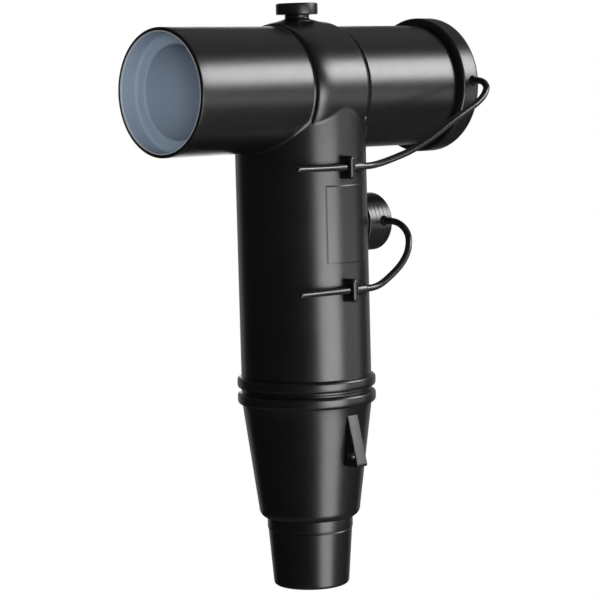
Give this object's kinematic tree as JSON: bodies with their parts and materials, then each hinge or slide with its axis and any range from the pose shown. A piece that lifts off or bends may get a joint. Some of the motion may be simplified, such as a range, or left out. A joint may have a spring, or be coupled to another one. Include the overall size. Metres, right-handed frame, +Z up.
{
  "type": "separable t-connector",
  "caption": "Screened T-shaped medium-voltage cable connector with a tapered bushing socket, rear plug and cap, test point cap, retaining straps and a stepped cable adapter.",
  "frame": {"origin": "centre of the mouth that slides over the bushing, in the plane of its rim", "axes": "+X along the barrel from the mouth to the rear cap, +Z up, with the cable leaving along -Z"},
  "size_m": [0.2314, 0.1031, 0.3602],
  "materials": {
    "screen_rubber": "smooth black conductive rubber, satin",
    "insulating_rubber": "smooth blue-grey insulating rubber, satin",
    "insert_rubber": "matt black conductive rubber",
    "adapter_rubber": "smooth black conductive rubber, satin",
    "cone_rubber": "smooth blue-grey insulating rubber",
    "lug_metal": "tinned, satin",
    "screw_metal": "sheared brass screws",
    "stud_steel": "zinc plated steel",
    "washer_steel": "zinc plated steel",
    "spring_steel": "spring steel",
    "nut_steel": "zinc plated steel",
    "plug_resin": "cast red-brown resin, glossy",
    "core_brass": "turned brass",
    "head_brass": "milled brass",
    "cap_rubber": "smooth black conductive rubber, satin",
    "strap_rubber": "black rubber strap, satin",
    "tail_rubber": "black rubber strap, satin",
    "test_metal": "bare metal electrode",
    "test_cap_rubber": "black rubber, satin"
  },
  "bodies": {
    "root": {"outer_screen": "screen_rubber", "insulation_body": "insulating_rubber", "inner_electrode": "insert_rubber", "adapter_jacket": "adapter_rubber", "stress_cone": "cone_rubber", "cable_lug": "lug_metal", "shear_screws": "screw_metal", "contact_stud": "stud_steel", "flat_washer": "washer_steel", "spring_washer": "spring_steel", "clamp_nut": "nut_steel", "insulating_plug": "plug_resin", "plug_core": "core_brass", "plug_head": "head_brass", "rear_cap": "cap_rubber", "rear_cap_strap": "strap_rubber", "rear_cap_strap_tail": "tail_rubber", "test_point_electrode": "test_metal", "test_point_cap": "test_cap_rubber", "test_cap_strap": "strap_rubber", "test_cap_strap_tail": "tail_rubber"}
  },
  "joints": []
}
